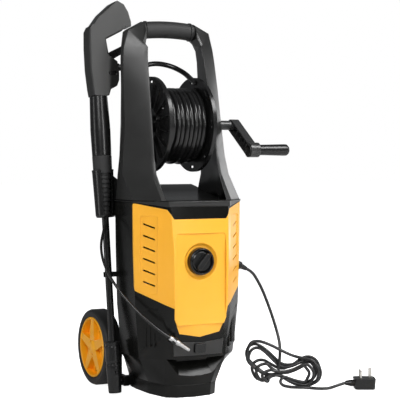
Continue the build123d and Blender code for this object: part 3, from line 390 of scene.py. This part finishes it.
# The seam of the gun's soft back leans inward above the hand opening, and slightly below the hose inlet.
SEAM_X, OPENING_Z, INLET_Z = -0.158, 0.835, 0.74
LEAN_ABOVE, LEAN_BELOW = 0.42, 0.05
UPWARD = 0.6


def behind_seam(face):
    """Whether a face of the gun lies on its soft back."""
    height = face.center.z
    lean = LEAN_ABOVE * max(0.0, height - OPENING_Z) + LEAN_BELOW * max(0.0, INLET_Z - height)
    return face.center.x < SEAM_X + lean


# The gun's back is a soft black grip; its sides are smooth and greyer.
two_tone("gun_shell", "soft_grip", behind_seam)
# The deck's upward faces get a glossier, darker black than the band round its front; the band's lighter
# colour is a painted highlight along the lip.
two_tone("top_deck", "black_housing", lambda face: face.normal.z > UPWARD)

for node, part in NODES.items():
    if node not in SHOWN:
        part.data.materials.clear()
        part.data.materials.append(MATERIALS[SLOT_OF[node]])

# ---------------------------------------------------------------- floor and light
FLOOR_REACH = 20
FLOOR_GLOW = 0.93
WORLD_LIGHT = 0.16


def bright_to_camera(tree, lit, bright, target):
    """The camera sees the bright shader, while the object is lit and mirrored by the other one."""
    seen = tree.nodes.new("ShaderNodeLightPath")
    choice = tree.nodes.new("ShaderNodeMixShader")
    tree.links.new(seen.outputs["Is Camera Ray"], choice.inputs[0])
    tree.links.new(lit, choice.inputs[1])
    tree.links.new(bright, choice.inputs[2])
    tree.links.new(choice.outputs[0], target)


world = bpy.data.worlds.new("studio")
world.use_nodes = True
world_nodes = world.node_tree.nodes
backdrop = world_nodes["Background"]
backdrop.inputs["Color"].default_value = (0.95, 0.97, 1, 1)
backdrop.inputs["Strength"].default_value = WORLD_LIGHT
white = world_nodes.new("ShaderNodeBackground")
white.inputs["Color"].default_value = (1, 1, 1, 1)
bright_to_camera(world.node_tree, backdrop.outputs[0], white.outputs[0],
                 world_nodes["World Output"].inputs["Surface"])
bpy.context.scene.world = world
bpy.context.scene.view_settings.view_transform = "Standard"

floor_mesh = bpy.data.meshes.new("floor")
corners = [(-FLOOR_REACH, -FLOOR_REACH, 0), (FLOOR_REACH, -FLOOR_REACH, 0), (FLOOR_REACH, FLOOR_REACH, 0),
           (-FLOOR_REACH, FLOOR_REACH, 0)]
floor_mesh.from_pydata(corners, [], [(0, 1, 2, 3)])
floor = bpy.data.objects.new("floor", floor_mesh)
bpy.context.scene.collection.objects.link(floor)
floor_material = surface("floor", (0.9, 0.9, 0.9), (0.92, 0.92, 0.92), 0.6, bump=0.02, cloud=1.5, edge=0)
floor_tree = floor_material.node_tree
paint = floor_tree.nodes["Principled BSDF"]
glow = floor_tree.nodes.new("ShaderNodeEmission")
glow.inputs["Strength"].default_value = FLOOR_GLOW
both = floor_tree.nodes.new("ShaderNodeAddShader")
floor_tree.links.new(paint.outputs[0], both.inputs[0])
floor_tree.links.new(glow.outputs[0], both.inputs[1])
bright_to_camera(floor_tree, paint.outputs[0], both.outputs[0],
                 floor_tree.nodes["Material Output"].inputs["Surface"])
floor.data.materials.append(floor_material)


def softbox(name, place, target, width, height, power):
    """Rectangular studio light facing a point."""
    data = bpy.data.lights.new(name, "AREA")
    data.shape = "RECTANGLE"
    data.size = width
    data.size_y = height
    data.energy = power
    light = bpy.data.objects.new(name, data)
    light.location = place
    light.rotation_euler = (Vector(target) - Vector(place)).to_track_quat("-Z", "Y").to_euler()
    bpy.context.scene.collection.objects.link(light)


softbox("key", (-1.9, -2.6, 2.3), (0, 0, 0.45), 1.1, 1.1, 56)
softbox("front", (0.6, -3.2, 1.4), (0, 0, 0.35), 0.5, 1.6, 28)
softbox("strip", (2.1, 1.3, 0.85), (0.1, 0, 0.6), 0.45, 1.5, 7)
softbox("right", (2.2, -1.6, 1.1), (0.1, 0, 0.4), 0.4, 1.6, 10)
softbox("top", (1.15, -1.35, 2.05), (0, -0.1, 0.2), 0.9, 0.9, 34)
softbox("left", (-2.3, 0.2, 0.9), (-0.1, 0, 0.5), 0.25, 1.6, 8)
